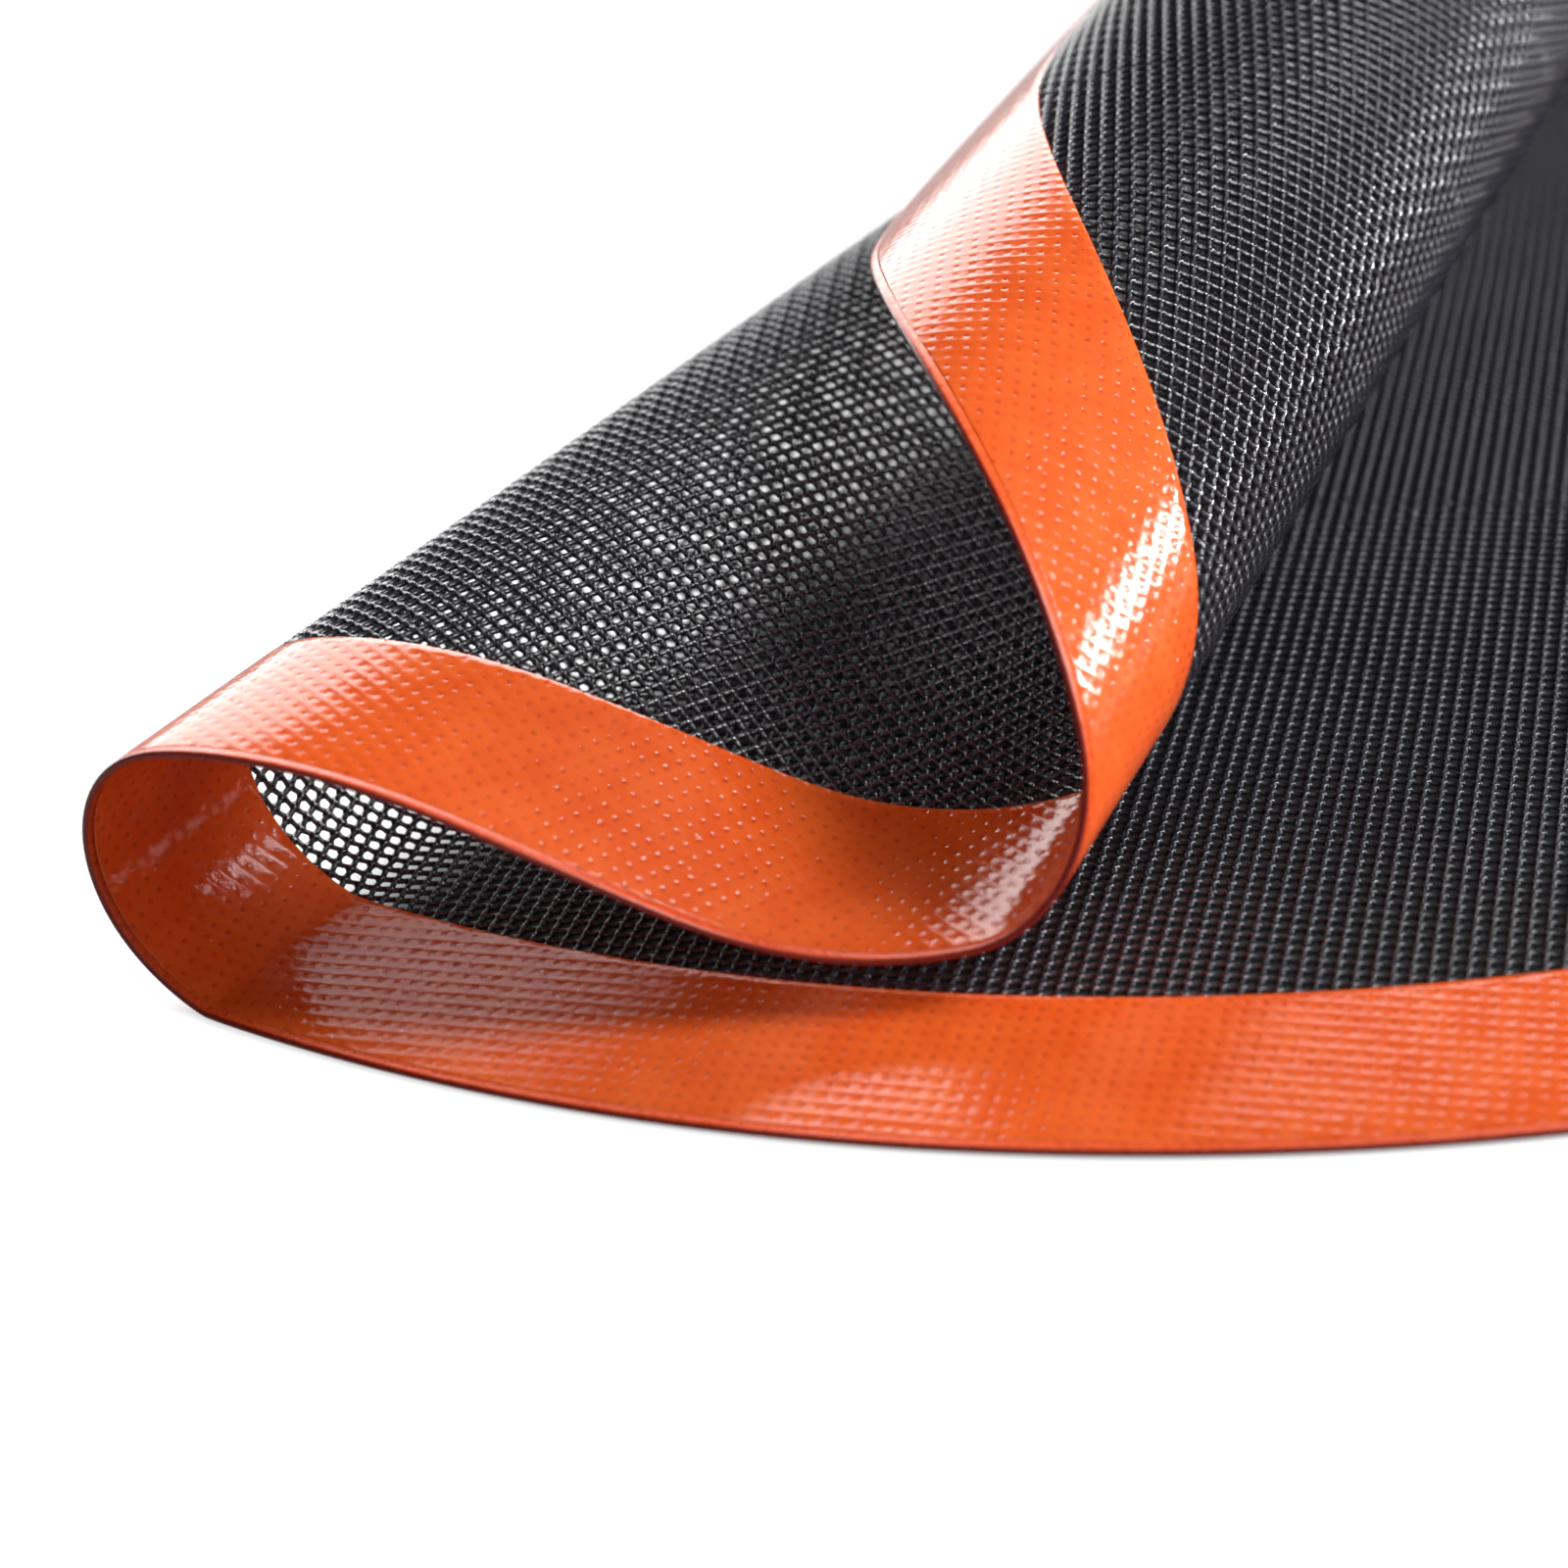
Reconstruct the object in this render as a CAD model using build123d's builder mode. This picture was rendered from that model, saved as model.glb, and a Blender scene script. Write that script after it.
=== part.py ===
"""A round silicone baking mat: coated open-weave glass cloth with a solid silicone border.

The mat lies flat on the right. Its left part is lifted and folded back over itself in an S: up and
over to the right, down to a valley, then up and back over to the left. The folds fan out a little,
so they open wider and stand higher away from the viewer. Y runs along the folds, away from the
viewer, +Z is up, and the origin is on the table, under the middle of the flat part.
"""

import os
from math import cos, radians, sin, sqrt

from build123d import *

# The mat laid out flat, in millimetres
mat_diameter = 305
border_width = 15.9
rim_width = 0.8

# Its layers: the glass cloth in the middle, and on each face the coat or the border's film
cloth_thickness = 0.26
coat_thickness = 0.22
film_thickness = 0.22

# How far right of the circle's centre the sheet starts to lift
lift_start = 32

# The bends, from the flat part to the free end, as shares of the sheet between lift_start and the
# end: lift, rise, left turn, crest, slope, valley, right turn, lean. The tail is what is left.
bend_shares = (0.141, 0.064, 0.129, 0.062, 0.046, 0.099, 0.127, 0.186)
bend_turns = (2, 42, 129, 36, 8, -77, -79, -101, -6)
bend_ruling_counts = (4, 4, 10, 4, 3, 7, 7, 9)
tail_ruling_count = 8

# The fan of the folds: where the ruled lines point, in degrees from +Y, at even steps of the sheet
fan_angles = (7, -3.5, -4.5, 5, -1.5, 1.5, 2.5)

# The free end is cut off just short of the circle, where the last ruled line has some width left
end_reach_share = 0.9988

# The gap left between pieces that are bonded together, so that they don't run into each other
seam_gap = 0.02

mat_radius = mat_diameter / 2
mesh_radius = mat_radius - border_width
film_hole = mesh_radius + seam_gap
rim_hole = mat_radius - rim_width
film_radius = rim_hole - seam_gap
folded_length = mat_radius + lift_start
flat_middle = (mat_radius + lift_start) / 2
half_cloth = cloth_thickness / 2
coat_level = half_cloth + coat_thickness
film_level = half_cloth + film_thickness


def fan_angle(along):
    """The direction of the ruled line that lies along the sheet from lift_start."""
    steps = len(fan_angles) - 1
    place = min(max(along / folded_length, 0), 1) * steps
    step = min(int(place), steps - 1)
    return fan_angles[step] + (place - step) * (fan_angles[step + 1] - fan_angles[step])


def ruled_plane(along):
    """The upright plane through a ruled line of the flat sheet, seen along the sheet."""
    lean = radians(fan_angle(along))
    return Plane(
        origin=(lift_start - along, 0, 0),
        x_dir=(sin(lean), cos(lean), 0),
        z_dir=(cos(lean), -sin(lean), 0),
    )


def ruled_ends(radius, along):
    """Where a ruled line of the flat sheet enters and leaves a circle of this radius."""
    lean = radians(fan_angle(along))
    offset = lift_start - along
    half_chord = sqrt(radius**2 - (offset * cos(lean)) ** 2)
    middle = -offset * sin(lean)
    return middle - half_chord, middle + half_chord


def turned_about(along, angle):
    """A turn of the rest of the flat sheet about one of its ruled lines; it lifts the left side."""
    ruled = ruled_plane(along)
    hinge = Plane(origin=ruled.origin, x_dir=ruled.z_dir, z_dir=ruled.x_dir).location
    return hinge * Rotation(Z=angle) * hinge.inverse()


def folded_lines(stops):
    """Where the ruled lines lie along the sheet and in the fold, up to the end at each stop."""
    bends = []
    start = 0
    for share, turn, count in zip(bend_shares, bend_turns, bend_ruling_counts):
        length = share * folded_length
        places = [start + length * step / count for step in range(1, count + 1)]
        bends.append((turn / length, places))
        start += length
    tail_turn = bend_turns[-1] / (folded_length - start)
    quarter = radians(90 / tail_ruling_count)
    for stop in stops:
        length = lift_start + stop * end_reach_share / cos(radians(fan_angle(folded_length))) - start
        places = [start + length * sin(quarter * step) for step in range(1, tail_ruling_count + 1)]
        bends.append((tail_turn, places))
        start += length
    carried = Location((-flat_middle, 0, film_level))
    lines = [(0, Plane(carried * ruled_plane(0).location))]
    for turn, places in bends:
        for along in places:
            step = along - lines[-1][0]
            carried = carried * turned_about(along - step / 2, turn * step)
            lines.append((along, Plane(carried * ruled_plane(along).location)))
    return lines


def lofted_strip(planes, ends, low, high):
    """Adds a strip of the sheet that runs through these planes, between its ends in each of them."""
    sections = []
    for plane, (start, end) in zip(planes, ends):
        with BuildSketch(plane) as section:
            with Locations(((start + end) / 2, (low + high) / 2)):
                Rectangle(end - start, high - low)
        sections.append(section.sketch)
    loft(sections, ruled=True)


def folded_sheet(stops, low, high, hole=0):
    """Adds a disc or ring of the mat, from one level of its thickness to another, as it is folded."""
    radius = stops[-1]
    with BuildSketch(Plane(origin=(-flat_middle, 0, film_level + low))) as flat:
        Circle(radius)
        if hole:
            Circle(hole, mode=Mode.SUBTRACT)
        with Locations((lift_start, 0)):
            Rectangle(
                mat_diameter,
                2 * mat_diameter,
                rotation=-fan_angle(0),
                align=(Align.MIN, Align.CENTER),
                mode=Mode.INTERSECT,
            )
    extrude(flat.sketch, amount=high - low)
    lines = folded_lines(stops)
    planes = [plane for along, plane in lines]
    outer = [ruled_ends(radius, along) for along, plane in lines]
    if hole:
        inner = [ruled_ends(hole, along) for along, plane in lines[:-tail_ruling_count]]
        near = [(side[0], hole_side[0]) for side, hole_side in zip(outer, inner)]
        far = [(hole_side[1], side[1]) for side, hole_side in zip(outer, inner)]
        lofted_strip(planes, near, low, high)
        lofted_strip(planes, far, low, high)
        planes = planes[-tail_ruling_count - 1 :]
        outer = outer[-tail_ruling_count - 1 :]
    lofted_strip(planes, outer, low, high)


with BuildPart() as glass_cloth_core:
    folded_sheet((mesh_radius, film_radius), -half_cloth, half_cloth)

with BuildPart() as silicone_coat_upper:
    folded_sheet((mesh_radius,), half_cloth + seam_gap, coat_level)

with BuildPart() as silicone_coat_lower:
    folded_sheet((mesh_radius,), -coat_level, -half_cloth - seam_gap)

with BuildPart() as border_film_upper:
    folded_sheet((film_hole, film_radius), half_cloth + seam_gap, film_level, film_hole)

with BuildPart() as border_film_lower:
    folded_sheet((film_hole, film_radius), -film_level, -half_cloth - seam_gap, film_hole)

with BuildPart() as border_rim:
    folded_sheet((mesh_radius, rim_hole, mat_radius), -film_level, film_level, rim_hole)

glass_cloth_core.part.label = "glass_cloth_core"
silicone_coat_upper.part.label = "silicone_coat_upper"
silicone_coat_lower.part.label = "silicone_coat_lower"
border_film_upper.part.label = "border_film_upper"
border_film_lower.part.label = "border_film_lower"
border_rim.part.label = "border_rim"

os.makedirs("parts", exist_ok=True)
export_step(glass_cloth_core.part, "parts/glass_cloth_core.step")
export_step(silicone_coat_upper.part, "parts/silicone_coat_upper.step")
export_step(silicone_coat_lower.part, "parts/silicone_coat_lower.step")
export_step(border_film_upper.part, "parts/border_film_upper.step")
export_step(border_film_lower.part, "parts/border_film_lower.step")
export_step(border_rim.part, "parts/border_rim.step")
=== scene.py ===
"""Dresses the folded round baking mat: woven, coated mesh, silicone border and rim, studio light.

Every piece is laid out flat first, in metres from the centre of the mat's circle, and then carried
into the same fold as the solids.
"""

from math import ceil, cos, pi, radians, sin

import bpy
import numpy as np
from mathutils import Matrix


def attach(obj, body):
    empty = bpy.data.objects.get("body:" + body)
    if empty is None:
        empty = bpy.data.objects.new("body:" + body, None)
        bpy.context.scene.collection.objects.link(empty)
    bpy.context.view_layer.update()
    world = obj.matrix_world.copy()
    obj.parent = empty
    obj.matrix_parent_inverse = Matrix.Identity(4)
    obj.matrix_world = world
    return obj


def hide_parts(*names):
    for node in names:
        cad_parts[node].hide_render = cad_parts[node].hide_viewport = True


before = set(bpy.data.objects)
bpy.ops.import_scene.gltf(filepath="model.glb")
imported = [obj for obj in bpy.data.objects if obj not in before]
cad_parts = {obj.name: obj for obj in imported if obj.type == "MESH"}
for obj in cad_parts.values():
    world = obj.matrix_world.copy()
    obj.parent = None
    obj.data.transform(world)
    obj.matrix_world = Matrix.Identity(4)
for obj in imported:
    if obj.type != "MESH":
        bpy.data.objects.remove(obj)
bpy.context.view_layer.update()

# The mat laid out flat
mat_radius = 0.1525
border_width = 0.0159
rim_width = 0.0008
half_thickness = 0.00035
seam_gap = 0.00002
mesh_radius = mat_radius - border_width
rim_hole = mat_radius - rim_width

# The fold, as in the solids
lift_start = 0.032
bend_shares = (0.141, 0.064, 0.129, 0.062, 0.046, 0.099, 0.127, 0.186)
bend_turns = (2, 42, 129, 36, 8, -77, -79, -101, -6)
fan_angles = (7, -3.5, -4.5, 5, -1.5, 1.5, 2.5)
folded_length = mat_radius + lift_start

# The origin is under the middle of the flat part, this far right of the circle's centre
flat_middle = (mat_radius + lift_start) / 2

# How finely the fold is worked out, and the length over which each bend eases into the next
fold_step = 0.00025
fold_softness = 0.005
softening_samples = 11
lean_rounds = 30
end_margin = 0.001

# The weave: its yarns run at an angle to the folds, and the phase places them on the mat
weave_pitch = 0.001195
weave_angle = radians(22)
weave_phase = (0.11, 0.737)
yarn_level = 0.00025
crossing_rise = 0.00008
yarn_tilt = 0.00006
mesh_panels = 9

# How far past the mesh's circle cells are tried, and how far a cell's middle may lie, in yarns
cell_spare = 3
cell_overlap = 0.8

# A hole's sides and the ends of its cut corners, from the middle of the cell, in yarns
hole_side = 0.3
hole_corner = 0.16

# The points round a cell, in half yarns: its crossings and the middles of its yarns
cell_outline = ((0, 0), (1, 0), (2, 0), (2, 1), (2, 2), (1, 2), (0, 2), (0, 1))

# The points round a cell's hole, in yarns, and which of them the yarns raise or lower
hole_outline = (
    (0.5 - hole_corner, 0.5 - hole_side),
    (0.5 + hole_corner, 0.5 - hole_side),
    (0.5 + hole_side, 0.5 - hole_corner),
    (0.5 + hole_side, 0.5 + hole_corner),
    (0.5 + hole_corner, 0.5 + hole_side),
    (0.5 - hole_corner, 0.5 + hole_side),
    (0.5 - hole_side, 0.5 + hole_corner),
    (0.5 - hole_side, 0.5 - hole_corner),
)
hole_tilts = (1, -1) * 4

# Two counts of half yarns are packed into one number, and each of them stays below this
most_half_yarns = 4096

# The border: at full thickness over the cloth, and thinner past the cloth's cut edge
border_sink = 0.00004
border_chamfer = 0.00012
cloth_margin = 0.0022
last_line_gap = 0.0005
lip_slope = 0.0012
lip_thickness = 0.00027
border_lines = 22
ring_spokes = 1500
bead_steps = 8
cloth_end = mat_radius - cloth_margin

# The colours of the silicones, of the painted shade in the border's dimples and pits and of the dust
# on them
mesh_dark = (0.006, 0.006, 0.012)
mesh_light = (0.015, 0.0145, 0.028)
mesh_dust = (0.7, 0.7, 0.72)
border_dark = (0.8, 0.104, 0.015)
border_light = (0.87, 0.134, 0.021)
painted_dimple_shade = (0.45, 0.035, 0.008)
painted_pit_shade = (0.12, 0.012, 0.008)
border_dust = (0.95, 0.75, 0.65)
rim_dark = (0.7, 0.07, 0.011)
rim_light = (0.82, 0.1, 0.015)
rim_edge = (0.24, 0.014, 0.007)

# Where a noise has nearly all its values, and how deep the bumps are
noise_low = 0.3
noise_high = 0.7
bump_depth = 0.00003


def fold_steps():
    """The turn of the sheet and the lean of its ruled lines, at even steps along it."""
    places = np.arange(ceil((folded_length + fold_softness) / fold_step) + 1) * fold_step
    knots = np.concatenate(([0], np.cumsum(bend_shares), [1])) * folded_length
    turned = np.concatenate(([0], np.cumsum(bend_turns)))
    spread = np.linspace(-fold_softness / 2, fold_softness / 2, softening_samples)
    turns = np.mean([np.interp(places + shift, knots, turned) for shift in spread], axis=0)
    leans = np.interp(places, np.linspace(0, folded_length, len(fan_angles)), fan_angles)
    return places, np.radians(turns), np.radians(leans)


def turn_about(point, axis, angle):
    """The matrix of a turn about a line."""
    x, y, z = axis
    cross = np.array([[0, -z, y], [z, 0, -x], [-y, x, 0]])
    turned = np.eye(3) + sin(angle) * cross + (1 - cos(angle)) * cross @ cross
    matrix = np.eye(4)
    matrix[:3, :3] = turned
    matrix[:3, 3] = point - turned @ point
    return matrix


def fold_matrices(places, turns, leans):
    """For each step along the sheet, where the fold carries the ruled line that lies there."""
    matrices = [np.eye(4)]
    for step in range(len(places) - 1):
        lean = (leans[step] + leans[step + 1]) / 2
        point = np.array([lift_start - (places[step] + places[step + 1]) / 2, 0, 0])
        axis = (sin(lean), cos(lean), 0)
        matrices.append(matrices[-1] @ turn_about(point, axis, turns[step + 1] - turns[step]))
    return np.array(matrices)


fold_places, fold_turns, fold_leans = fold_steps()
fold_carried = fold_matrices(fold_places, fold_turns, fold_leans)


def folded(flat):
    """Carries points of the flat mat into the fold, and tells which way the sheet faces there.

    The third number of a flat point is its height above the middle of the sheet.
    """
    x, y = flat[:, 0], flat[:, 1]
    along = lift_start - x
    for _ in range(lean_rounds):
        along = lift_start - x + y * np.tan(np.interp(along, fold_places, fold_leans))
    place = np.clip(along / fold_step, 0, len(fold_places) - 1 - end_margin)
    step = place.astype(int)
    part = (place - step)[:, None]
    points = np.column_stack((flat, np.ones(len(flat))))
    before = np.einsum("nij,nj->ni", fold_carried[step], points)[:, :3]
    after = np.einsum("nij,nj->ni", fold_carried[step + 1], points)[:, :3]
    facing = fold_carried[step][:, :3, 2] * (1 - part) + fold_carried[step + 1][:, :3, 2] * part
    return before * (1 - part) + after * part + (-flat_middle, 0, half_thickness), facing


def store_vectors(mesh, name, vectors):
    """Stores a vector for each point of a mesh."""
    stored = mesh.attributes.new(name, "FLOAT_VECTOR", "POINT")
    stored.data.foreach_set("vector", vectors.astype(np.float32).ravel())


def sheet_piece(name, flat, faces, material):
    """A piece made of points of the flat mat and faces of equal corner counts, folded.

    Each point keeps its place on the flat mat, and its crown, how far it stands off the middle of
    the sheet and which way.
    """
    mesh = bpy.data.meshes.new(name)
    corners = faces.shape[1]
    points, facing = folded(flat)
    mesh.vertices.add(len(flat))
    mesh.vertices.foreach_set("co", points.astype(np.float32).ravel())
    mesh.loops.add(faces.size)
    mesh.loops.foreach_set("vertex_index", faces.astype(np.int32).ravel())
    mesh.polygons.add(len(faces))
    mesh.polygons.foreach_set("loop_start", np.arange(len(faces), dtype=np.int32) * corners)
    mesh.update(calc_edges=True)
    mesh.validate()
    mesh.polygons.foreach_set("use_smooth", np.full(len(faces), True))
    store_vectors(mesh, "flat_place", flat)
    store_vectors(mesh, "crown", facing * (flat[:, 2:] / yarn_level))
    mesh.materials.append(material)
    piece = bpy.data.objects.new(name, mesh)
    bpy.context.scene.collection.objects.link(piece)
    return piece


def weave_to_flat(across, away):
    """Turns places counted in yarns into places on the flat mat."""
    u = (across - weave_phase[0]) * weave_pitch
    v = (away - weave_phase[1]) * weave_pitch
    c, s = cos(weave_angle), sin(weave_angle)
    return u * c - v * s, u * s + v * c


def woven_cells():
    """The cells of the weave between four crossings each, as whole numbers, that the mesh holds."""
    reach = int(mesh_radius / weave_pitch) + cell_spare
    counts = np.arange(-reach, reach)
    across, away = np.meshgrid(counts, counts, indexing="ij")
    across, away = across.ravel(), away.ravel()
    x, y = weave_to_flat(across + 0.5, away + 0.5)
    inside = np.hypot(x, y) < mesh_radius + cell_overlap * weave_pitch
    return across[inside], away[inside]


def shared_points(across, away):
    """The crossings and yarns' middles round some cells, each once, and which of them a cell has."""
    keys = np.stack([
        (2 * across + dx + most_half_yarns) * 2 * most_half_yarns + 2 * away + dy + most_half_yarns
        for dx, dy in cell_outline
    ], axis=1)
    shared, index = np.unique(keys, return_inverse=True)
    half_across = shared // (2 * most_half_yarns) - most_half_yarns
    half_away = shared % (2 * most_half_yarns) - most_half_yarns
    return half_across, half_away, index.reshape(keys.shape)


def panel_faces(index, shared_count):
    """The triangles of a panel: its upper and lower faces round the holes, and its cut sides."""
    cells, sides = index.shape
    ring = 2 * shared_count + np.arange(cells)[:, None] + cells * np.arange(sides)[None, :]
    faces = []
    edges = []
    for side in range(sides):
        outer, outer_next = index[:, side], index[:, (side + 1) % sides]
        inner, inner_before = ring[:, side], ring[:, (side - 1) % sides]
        low, low_next = outer + shared_count, outer_next + shared_count
        faces.append(np.column_stack((outer, outer_next, inner)))
        faces.append(np.column_stack((inner_before, outer, inner)))
        faces.append(np.column_stack((low_next, low, inner)))
        faces.append(np.column_stack((low, inner_before, inner)))
        edges.append(np.column_stack((outer, outer_next)))
    # An edge that only one cell has is on the panel's cut side
    edges = np.concatenate(edges)
    ordered = np.sort(edges, axis=1)
    _, first, uses = np.unique(ordered, axis=0, return_index=True, return_counts=True)
    start, end = edges[first[uses == 1]].T
    faces.append(np.column_stack((end, start, start + shared_count)))
    faces.append(np.column_stack((end, start + shared_count, end + shared_count)))
    return np.concatenate(faces)


def woven_panel(name, across, away, material):
    """One panel of the mesh: holes with cut corners between yarns that pass over and under."""
    half_across, half_away, index = shared_points(across, away)
    crossing = (half_across % 2 == 0) & (half_away % 2 == 0)
    x, y = weave_to_flat(half_across / 2, half_away / 2)
    height = yarn_level + crossing_rise * crossing
    points = [np.column_stack((x, y, height)), np.column_stack((x, y, -height))]
    over_or_under = 1 - 2 * ((across + away) % 2)
    for (dx, dy), tilt in zip(hole_outline, hole_tilts):
        x, y = weave_to_flat(across + dx, away + dy)
        points.append(np.column_stack((x, y, yarn_tilt * tilt * over_or_under)))
    return sheet_piece(name, np.concatenate(points), panel_faces(index, len(half_across)), material)


def yarns_long(counts):
    """The length on the flat mat of a run of cells."""
    return (counts.max() - counts.min() + 1) * weave_pitch


def mesh_in_panels(material):
    """The mesh, in panels across the yarns, each with its flat width, length and area."""
    across, away = woven_cells()
    order = np.argsort(away, kind="stable")
    rows = away[order]
    starts = [
        np.searchsorted(rows, rows[number * len(rows) // mesh_panels])
        for number in range(mesh_panels)
    ]
    panels = []
    for number, (start, end) in enumerate(zip(starts, starts[1:] + [len(rows)])):
        chosen = order[start:end]
        name = f"mesh_panel_{number + 1}"
        panel = woven_panel(name, across[chosen], away[chosen], material)
        width = yarns_long(across[chosen])
        length = yarns_long(away[chosen])
        panels.append((panel, width, length, len(chosen) * weave_pitch**2))
    return panels


def ring_piece(name, section, spokes, material):
    """A ring of the mat with this closed cross-section of radii and heights."""
    angles = np.arange(spokes) * 2 * pi / spokes
    radius, height = np.array(section).T
    x = np.cos(angles)[:, None] * radius[None, :]
    y = np.sin(angles)[:, None] * radius[None, :]
    z = np.broadcast_to(height[None, :], x.shape)
    flat = np.column_stack((x.ravel(), y.ravel(), z.ravel()))
    count = len(section)
    spoke, point = np.meshgrid(np.arange(spokes), np.arange(count), indexing="ij")
    spoke, point = spoke.ravel(), point.ravel()
    spoke_next, point_next = (spoke + 1) % spokes, (point + 1) % count
    faces = np.column_stack((
        spoke * count + point,
        spoke_next * count + point,
        spoke_next * count + point_next,
        spoke * count + point_next,
    ))
    return sheet_piece(name, flat, faces, material)


def border_section():
    """The border's cross-section, outwards along its lower face and back along its upper one."""
    face = half_thickness - border_sink
    face_start = mesh_radius + border_chamfer
    upper = [(mesh_radius, face - border_chamfer)]
    for radius in np.linspace(face_start, cloth_end - last_line_gap, border_lines):
        upper.append((radius, face))
    upper.append((cloth_end, face))
    upper.append((cloth_end + lip_slope, lip_thickness))
    upper.append((rim_hole - seam_gap, lip_thickness))
    lower = [(radius, -height) for radius, height in upper]
    return lower + upper[::-1]


def rim_section():
    """The rim's cross-section, a small bead that is round on the outside."""
    centre = mat_radius - lip_thickness
    section = [(rim_hole, lip_thickness), (rim_hole, -lip_thickness)]
    for step in range(bead_steps + 1):
        turn = step * pi / bead_steps - pi / 2
        section.append((centre + lip_thickness * cos(turn), lip_thickness * sin(turn)))
    return section


def link(tree, output, socket):
    """Links a node's output to another node's socket."""
    tree.links.new(output, socket)


def fill(tree, sockets, values):
    """Gives each socket its value, which is a number, a vector, a colour or another node's output."""
    for socket, value in zip(sockets, values):
        if not isinstance(value, (int, float, tuple)):
            link(tree, value, socket)
        elif socket.type == "RGBA":
            socket.default_value = (*value, 1)
        else:
            socket.default_value = value


def group_of(name, inputs, outputs):
    """An empty shader node group with these inputs, each with its first value, and outputs."""
    group = bpy.data.node_groups.new(name, "ShaderNodeTree")
    for socket, kind, value in inputs:
        made = group.interface.new_socket(name=socket, in_out="INPUT", socket_type=kind)
        made.default_value = value
    for socket in outputs:
        group.interface.new_socket(name=socket, in_out="OUTPUT", socket_type="NodeSocketFloat")
    start = group.nodes.new("NodeGroupInput")
    end = group.nodes.new("NodeGroupOutput")
    return group, start, end


def math_node(tree, operation, *values):
    """A sum on numbers."""
    node = tree.nodes.new("ShaderNodeMath")
    node.operation = operation
    fill(tree, node.inputs, values)
    return node.outputs[0]


def vector_node(tree, operation, *values):
    """A sum on vectors."""
    node = tree.nodes.new("ShaderNodeVectorMath")
    node.operation = operation
    fill(tree, node.inputs, values)
    return node


def noise_node(tree, vector, scale, detail, roughness=0.5):
    """An uneven value between 0 and 1."""
    node = tree.nodes.new("ShaderNodeTexNoise")
    node.inputs["Scale"].default_value = scale
    node.inputs["Detail"].default_value = detail
    node.inputs["Roughness"].default_value = roughness
    link(tree, vector, node.inputs["Vector"])
    return node.outputs["Fac"]


def ramp_node(tree, value, low, high, new_low=0.0, new_high=1.0):
    """A smooth step from one value to another."""
    node = tree.nodes.new("ShaderNodeMapRange")
    node.interpolation_type = "SMOOTHSTEP"
    node.inputs["From Min"].default_value = low
    node.inputs["From Max"].default_value = high
    node.inputs["To Min"].default_value = new_low
    node.inputs["To Max"].default_value = new_high
    link(tree, value, node.inputs["Value"])
    return node.outputs["Result"]


def noise_spread(tree, noise, new_low=0.0, new_high=1.0):
    """A noise stretched over a range of values."""
    return ramp_node(tree, noise, noise_low, noise_high, new_low, new_high)


def colour_mix(tree, factor, first, second):
    """A colour between two others."""
    node = tree.nodes.new("ShaderNodeMix")
    node.data_type = "RGBA"
    colours = [socket for socket in node.inputs if socket.type == "RGBA"]
    fill(tree, [node.inputs[0]] + colours, (factor, first, second))
    return next(socket for socket in node.outputs if socket.type == "RGBA")


def weave_print_group():
    """How the yarns show through a coat of silicone, from places on the flat mat."""
    inputs = [
        ("Place", "NodeSocketVector", (0, 0, 0)),
        ("Across", "NodeSocketFloat", 1.0),
        ("Away", "NodeSocketFloat", 1.0),
    ]
    outputs = ["Height", "Dimples", "Pits", "Crossings"]
    group, start, end = group_of("weave_print", inputs, outputs)
    turn = group.nodes.new("ShaderNodeMapping")
    turn.inputs["Scale"].default_value = (1 / weave_pitch, 1 / weave_pitch, 1 / weave_pitch)
    turn.inputs["Rotation"].default_value = (0, 0, -weave_angle)
    turn.inputs["Location"].default_value = (*weave_phase, 0)
    link(group, start.outputs["Place"], turn.inputs["Vector"])
    yarns = turn.outputs["Vector"]
    parts = group.nodes.new("ShaderNodeSeparateXYZ")
    link(group, yarns, parts.inputs["Vector"])
    waves = []
    passes = []
    for axis in ("X", "Y"):
        full_turns = math_node(group, "MULTIPLY", parts.outputs[axis], 2 * pi)
        waves.append(math_node(group, "COSINE", full_turns))
        half_turns = math_node(group, "MULTIPLY", parts.outputs[axis], pi)
        passes.append(math_node(group, "COSINE", half_turns))

    # Ribs along the yarns, higher where a yarn passes over
    rib_blend = 0.8
    pass_share = 0.25
    along_away = math_node(group, "MULTIPLY", waves[0], start.outputs["Away"])
    along_across = math_node(group, "MULTIPLY", waves[1], start.outputs["Across"])
    ridge = math_node(group, "SMOOTH_MAX", along_away, along_across, rib_blend)
    over = math_node(group, "MULTIPLY", passes[0], passes[1])
    wavy = math_node(group, "MULTIPLY_ADD", over, pass_share, ridge)
    uneven = noise_node(group, yarns, scale=0.35, detail=3)
    rib_height = ramp_node(group, uneven, low=0.25, high=0.75, new_low=0.35, new_high=0.9)
    ribs = math_node(group, "MULTIPLY", wavy, rib_height)

    # Dimples over the holes, unevenly deep, pits in some of them, and the tops of the crossings
    spots = math_node(group, "ADD", waves[0], waves[1])
    depths = noise_node(group, yarns, scale=0.6, detail=2)
    dimple_depth = ramp_node(group, depths, low=0.3, high=0.65, new_low=0.35, new_high=1.0)
    dimple_place = ramp_node(group, spots, low=-0.9, high=-1.8)
    dimples = math_node(group, "MULTIPLY", dimple_place, dimple_depth)
    chosen = noise_node(group, yarns, scale=0.8, detail=1)
    pit_place = ramp_node(group, spots, low=-1.86, high=-1.96)
    pits = math_node(group, "MULTIPLY", pit_place, ramp_node(group, chosen, low=0.56, high=0.62))
    link(group, math_node(group, "SUBTRACT", ribs, dimples), end.inputs["Height"])
    link(group, dimples, end.inputs["Dimples"])
    link(group, pits, end.inputs["Pits"])
    link(group, ramp_node(group, spots, low=0.5, high=1.7), end.inputs["Crossings"])
    return group


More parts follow.
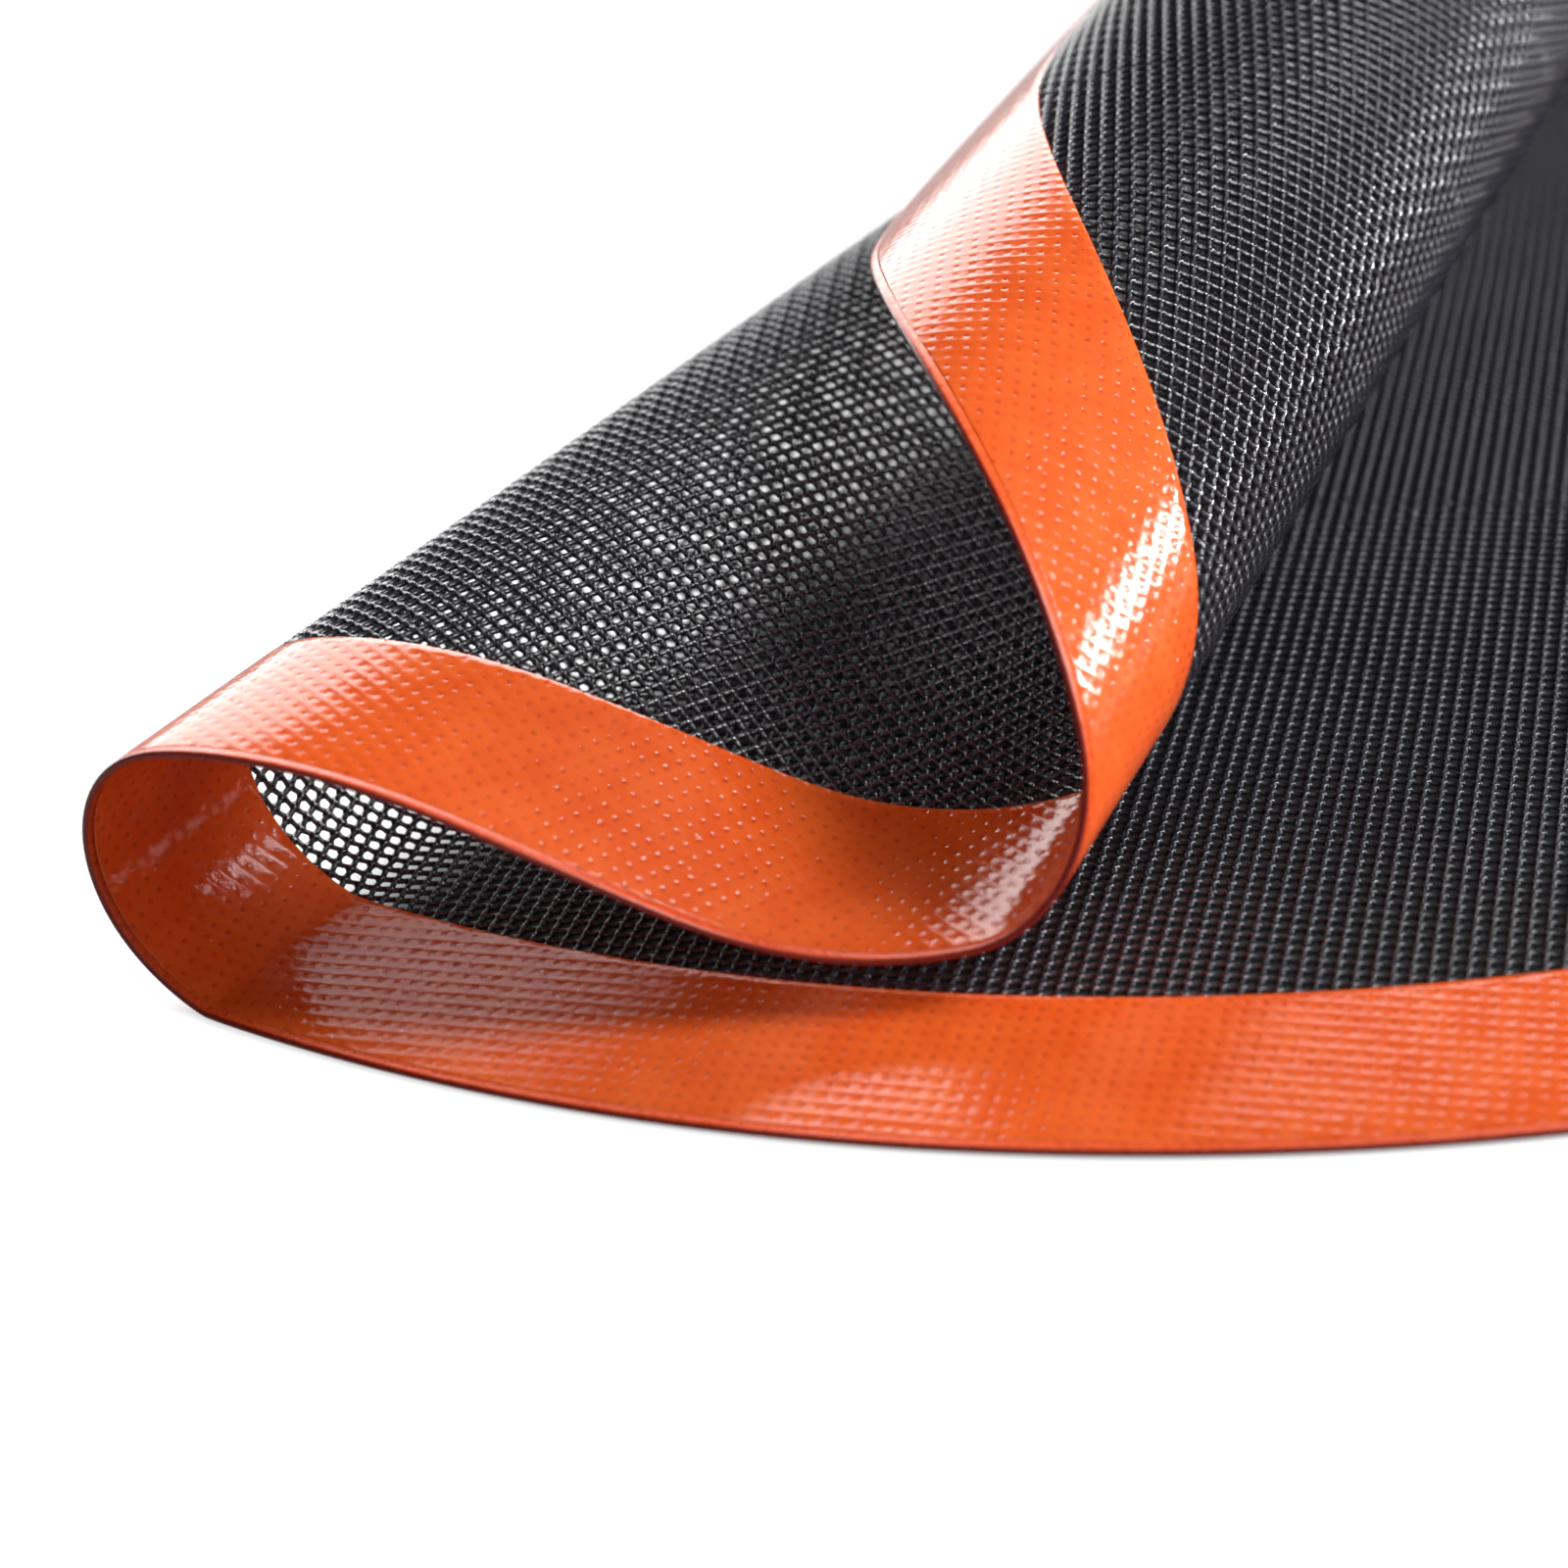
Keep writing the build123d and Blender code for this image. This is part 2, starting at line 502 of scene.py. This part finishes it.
def dust_group():
    """A few pale specks of dust, in patches, from places on the flat mat."""
    inputs = [
        ("Place", "NodeSocketVector", (0, 0, 0)),
        ("Scale", "NodeSocketFloat", 900.0),
        ("Amount", "NodeSocketFloat", 0.5),
    ]
    group, start, end = group_of("dust", inputs, ["Mask"])
    spots = group.nodes.new("ShaderNodeTexVoronoi")
    spots.inputs["Randomness"].default_value = 1.0
    link(group, start.outputs["Place"], spots.inputs["Vector"])
    link(group, start.outputs["Scale"], spots.inputs["Scale"])
    small = ramp_node(group, spots.outputs["Distance"], low=0.1, high=0.06)
    parts = group.nodes.new("ShaderNodeSeparateColor")
    link(group, spots.outputs["Color"], parts.inputs["Color"])
    few = math_node(group, "LESS_THAN", parts.outputs[0], start.outputs["Amount"])
    uneven = noise_node(group, start.outputs["Place"], scale=60, detail=2)
    patches = ramp_node(group, uneven, low=0.4, high=0.65)
    specks = math_node(group, "MULTIPLY", small, few)
    link(group, math_node(group, "MULTIPLY", specks, patches), end.inputs["Mask"])
    return group


weave_print = weave_print_group()
dust = dust_group()


def stored_vector(tree, name):
    """A vector that is stored for each point of the piece."""
    node = tree.nodes.new("ShaderNodeAttribute")
    node.attribute_type = "GEOMETRY"
    node.attribute_name = name
    return node.outputs["Vector"]


def new_material(name):
    """A material, its node tree and its shader, with the place on the flat mat to work from."""
    material = bpy.data.materials.new(name)
    material.use_nodes = True
    tree = material.node_tree
    return material, tree, tree.nodes["Principled BSDF"], stored_vector(tree, "flat_place")


def placed_group(tree, group, place, **values):
    """A node group that works from a place on the flat mat, with these values."""
    node = tree.nodes.new("ShaderNodeGroup")
    node.node_tree = group
    link(tree, place, node.inputs["Place"])
    for socket, value in values.items():
        node.inputs[socket].default_value = value
    return node


def dusted(tree, place, colour, dust_colour, scale, amount):
    """A colour with specks of dust on it."""
    specks = placed_group(tree, dust, place, Scale=scale, Amount=amount)
    return colour_mix(tree, specks.outputs["Mask"], colour, dust_colour)


def bump_node(tree, height, strength, normal=None):
    """The surface's direction, tilted by a relief."""
    node = tree.nodes.new("ShaderNodeBump")
    node.inputs["Strength"].default_value = strength
    node.inputs["Distance"].default_value = bump_depth
    link(tree, height, node.inputs["Height"])
    if normal is not None:
        link(tree, normal, node.inputs["Normal"])
    return node.outputs["Normal"]


def coated_mesh_material():
    """Dark silicone over glass yarn, glossiest and fullest where the yarns cross."""
    crossing_gloss = 0.22
    crossing_coat = 0.8
    crossing_relief = 4.0
    crown_share = 0.5
    material, tree, shader, place = new_material("coated_mesh")
    grain = noise_node(tree, place, scale=2600, detail=3, roughness=0.6)
    shades = noise_node(tree, place, scale=45, detail=3)
    colour = colour_mix(tree, noise_spread(tree, shades), mesh_dark, mesh_light)
    colour = dusted(tree, place, colour, mesh_dust, scale=1100.0, amount=0.22)
    link(tree, colour, shader.inputs["Base Color"])
    crossings = placed_group(tree, weave_print, place).outputs["Crossings"]
    smoothed = math_node(tree, "MULTIPLY", crossings, -crossing_gloss)
    grainy = noise_spread(tree, grain, new_low=0.29, new_high=0.37)
    link(tree, math_node(tree, "ADD", smoothed, grainy), shader.inputs["Roughness"])
    coat = math_node(tree, "MULTIPLY", crossings, crossing_coat)
    link(tree, coat, shader.inputs["Coat Weight"])
    shader.inputs["Coat Roughness"].default_value = 0.07

    # The crown evens out the small slopes of the yarns, so that the light falls on them as on a sheet
    crown_shares = (crown_share, crown_share, crown_share)
    normal = tree.nodes.new("ShaderNodeNewGeometry").outputs["Normal"]
    crown = stored_vector(tree, "crown")
    flatter = vector_node(tree, "MULTIPLY_ADD", crown, crown_shares, normal).outputs["Vector"]
    evened = vector_node(tree, "NORMALIZE", flatter).outputs["Vector"]
    relief = math_node(tree, "MULTIPLY_ADD", crossings, crossing_relief, grain)
    link(tree, bump_node(tree, relief, strength=0.9, normal=evened), shader.inputs["Normal"])
    shader.inputs["Specular IOR Level"].default_value = 1.0
    return material


def border_silicone_material():
    """Orange silicone with the weave showing through as ribs, dimples and pits, the dimples and pits
    darkened by painted shade.
    """
    away_rib_share = 0.45
    dimple_painted_shade = 0.45
    pit_painted_shade = 0.5
    grain_share = 0.8
    material, tree, shader, place = new_material("border_silicone")
    weave = placed_group(tree, weave_print, place, Across=1.0, Away=away_rib_share)
    mottle = noise_node(tree, place, scale=240, detail=4, roughness=0.6)
    colour = colour_mix(tree, noise_spread(tree, mottle), border_dark, border_light)
    # Painted shade: the dimples over the holes are darkened towards a deep red
    dimples = math_node(tree, "MULTIPLY", weave.outputs["Dimples"], dimple_painted_shade)
    colour = colour_mix(tree, dimples, colour, painted_dimple_shade)
    # Painted shade: the pits in some of the holes are darkened nearly to black
    pits = math_node(tree, "MULTIPLY", weave.outputs["Pits"], pit_painted_shade)
    colour = colour_mix(tree, pits, colour, painted_pit_shade)
    colour = dusted(tree, place, colour, border_dust, scale=800.0, amount=0.3)
    link(tree, colour, shader.inputs["Base Color"])
    gloss = noise_spread(tree, mottle, new_low=0.08, new_high=0.15)
    link(tree, gloss, shader.inputs["Roughness"])
    grain = noise_node(tree, place, scale=1900, detail=3, roughness=0.6)
    relief = math_node(tree, "MULTIPLY_ADD", grain, grain_share, weave.outputs["Height"])
    link(tree, bump_node(tree, relief, strength=0.8), shader.inputs["Normal"])
    shader.inputs["Specular IOR Level"].default_value = 0.45
    shader.inputs["Subsurface Weight"].default_value = 0.25
    shader.inputs["Subsurface Radius"].default_value = (1.0, 0.25, 0.08)
    shader.inputs["Subsurface Scale"].default_value = 0.0015
    return material


def rim_silicone_material():
    """The edge bead, orange on its faces, and dark red and a little rough on its outer edge."""
    edge_fade_start = 0.0003
    edge_fade_end = 0.0001
    material, tree, shader, place = new_material("rim_silicone")
    worn = noise_node(tree, place, scale=1500, detail=4, roughness=0.7)
    orange = colour_mix(tree, noise_spread(tree, worn), rim_dark, rim_light)
    radius = vector_node(tree, "LENGTH", place).outputs["Value"]
    edge = ramp_node(tree, radius, mat_radius - edge_fade_start, mat_radius - edge_fade_end)
    link(tree, colour_mix(tree, edge, orange, rim_edge), shader.inputs["Base Color"])
    rough = noise_spread(tree, worn, new_low=0.22, new_high=0.4)
    link(tree, rough, shader.inputs["Roughness"])
    link(tree, bump_node(tree, worn, strength=0.5), shader.inputs["Normal"])
    return material


panels = mesh_in_panels(coated_mesh_material())
border = ring_piece("silicone_border", border_section(), ring_spokes, border_silicone_material())
rim = ring_piece("border_rim_bead", rim_section(), ring_spokes, rim_silicone_material())

for piece in [panel[0] for panel in panels]:
    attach(piece, "root")
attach(border, "root")
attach(rim, "root")
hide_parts("glass_cloth_core", "silicone_coat_upper", "silicone_coat_lower")
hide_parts("border_film_upper", "border_film_lower")
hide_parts("border_rim")

# The floor glows beyond the mat's circle and under its lifted side, and is grey under the flat part
floor_size = 12
floor_grey = 0.3
floor_bounce = 0.15
circle_glow_start = mat_radius - 0.002
circle_glow_full = mat_radius + 0.001
fold_line = lift_start - flat_middle
fold_glow_start = fold_line - 0.016
fold_glow_full = fold_line - 0.028


def white_table_material():
    """A table that shows as pure white, and lights what stands on it much less than that."""
    material = bpy.data.materials.new("white_table")
    material.use_nodes = True
    tree = material.node_tree
    shader = tree.nodes["Principled BSDF"]
    shader.inputs["Base Color"].default_value = (floor_grey, floor_grey, floor_grey, 1)
    shader.inputs["Roughness"].default_value = 0.7
    shader.inputs["Specular IOR Level"].default_value = 0.1
    shader.inputs["Emission Color"].default_value = (1, 1, 1, 1)
    place = tree.nodes.new("ShaderNodeTexCoord").outputs["Object"]
    from_mat = vector_node(tree, "DISTANCE", place, (-flat_middle, 0, 0)).outputs["Value"]
    parts = tree.nodes.new("ShaderNodeSeparateXYZ")
    link(tree, place, parts.inputs["Vector"])
    beyond = ramp_node(tree, from_mat, circle_glow_start, circle_glow_full)
    left = ramp_node(tree, parts.outputs["X"], fold_glow_start, fold_glow_full)
    lit_place = math_node(tree, "MAXIMUM", beyond, left)
    seen = tree.nodes.new("ShaderNodeLightPath").outputs["Is Camera Ray"]
    seen_or_bounced = math_node(tree, "MAXIMUM", seen, floor_bounce)
    glow = math_node(tree, "MULTIPLY", lit_place, seen_or_bounced)
    link(tree, glow, shader.inputs["Emission Strength"])
    return material


bpy.ops.object.select_all(action="DESELECT")
bpy.ops.mesh.primitive_plane_add(size=floor_size, location=(0, 0, 0))
floor = bpy.context.object
floor.name = "floor"
floor.data.materials.append(white_table_material())

# The camera, and the place that it focuses on, at the near end of the folds
camera_place = (0.05865, -0.24332, 0.11171)
camera_turns = (58.233, 6.814, 38.019)
lens_length = 64.39
sensor_width = 36
nearest_seen = 0.01
lens_stop = 21
focus_place = (-0.06, -0.11, 0.015)

camera_data = bpy.data.cameras.new("camera")
camera = bpy.data.objects.new("camera", camera_data)
bpy.context.scene.collection.objects.link(camera)
camera.location = camera_place
camera.rotation_euler = [radians(turn) for turn in camera_turns]
camera_data.lens = lens_length
camera_data.sensor_width = sensor_width
camera_data.clip_start = nearest_seen
focus = bpy.data.objects.new("focus", None)
bpy.context.scene.collection.objects.link(focus)
focus.location = focus_place
camera_data.dof.use_dof = True
camera_data.dof.focus_object = focus
camera_data.dof.aperture_fstop = lens_stop
bpy.context.scene.camera = camera

# The studio's backdrop: how high it reaches, which way it lies and how bright it is
backdrop_top = 0.635
backdrop_full = 0.585
backdrop_heading = (-0.77, 0.64)
backdrop_side = 0.72
backdrop_side_full = 0.84
backdrop_light = 5


def studio_world():
    """A bright backdrop low behind the mat, and a dimmer room, lightest overhead and to the right."""
    world = bpy.data.worlds.new("studio")
    world.use_nodes = True
    tree = world.node_tree
    background = tree.nodes["Background"]
    parts = tree.nodes.new("ShaderNodeSeparateXYZ")
    direction = tree.nodes.new("ShaderNodeTexCoord").outputs["Generated"]
    link(tree, direction, parts.inputs["Vector"])
    right, back, up = parts.outputs
    low = ramp_node(tree, up, backdrop_top, backdrop_full)
    heading_x = math_node(tree, "MULTIPLY", right, backdrop_heading[0])
    heading_y = math_node(tree, "MULTIPLY", back, backdrop_heading[1])
    towards = math_node(tree, "ADD", heading_x, heading_y)
    behind = ramp_node(tree, towards, backdrop_side, backdrop_side_full)
    bright = math_node(tree, "MULTIPLY", low, behind)
    above = ramp_node(tree, up, low=0.0, high=0.9, new_low=0.08, new_high=0.4)
    from_right = ramp_node(tree, right, low=-0.5, high=0.5, new_low=0.1, new_high=1.1)
    room = math_node(tree, "MULTIPLY", above, from_right)
    lit = math_node(tree, "MULTIPLY_ADD", bright, backdrop_light, room)
    seen = tree.nodes.new("ShaderNodeLightPath").outputs["Is Camera Ray"]
    link(tree, math_node(tree, "MAXIMUM", lit, seen), background.inputs["Strength"])
    background.inputs["Color"].default_value = (1, 1, 1, 1)
    return world


def softbox(name, place, width, height, power):
    """A rectangular light at this place, turned towards the mat."""
    bpy.ops.object.light_add(type="AREA", location=place)
    light = bpy.context.object
    light.name = name
    light.data.shape = "RECTANGLE"
    light.data.size = width
    light.data.size_y = height
    light.data.energy = power
    light.rotation_euler = (-light.location).to_track_quat("-Z", "Y").to_euler()
    return light


bpy.context.scene.view_settings.view_transform = "Standard"
bpy.context.scene.world = studio_world()

# The side light colours the silicone without a sheen, and the glint light beside it sparkles
softbox("key_softbox", place=(0.66, 0.4, 0.9), width=0.45, height=0.45, power=12)
side = softbox("side_softbox", place=(0.7, 0.9, 0.27), width=0.95, height=0.55, power=15)
side.visible_glossy = False
softbox("glint_softbox", place=(0.66, 0.94, 0.28), width=0.19, height=0.17, power=4.5)
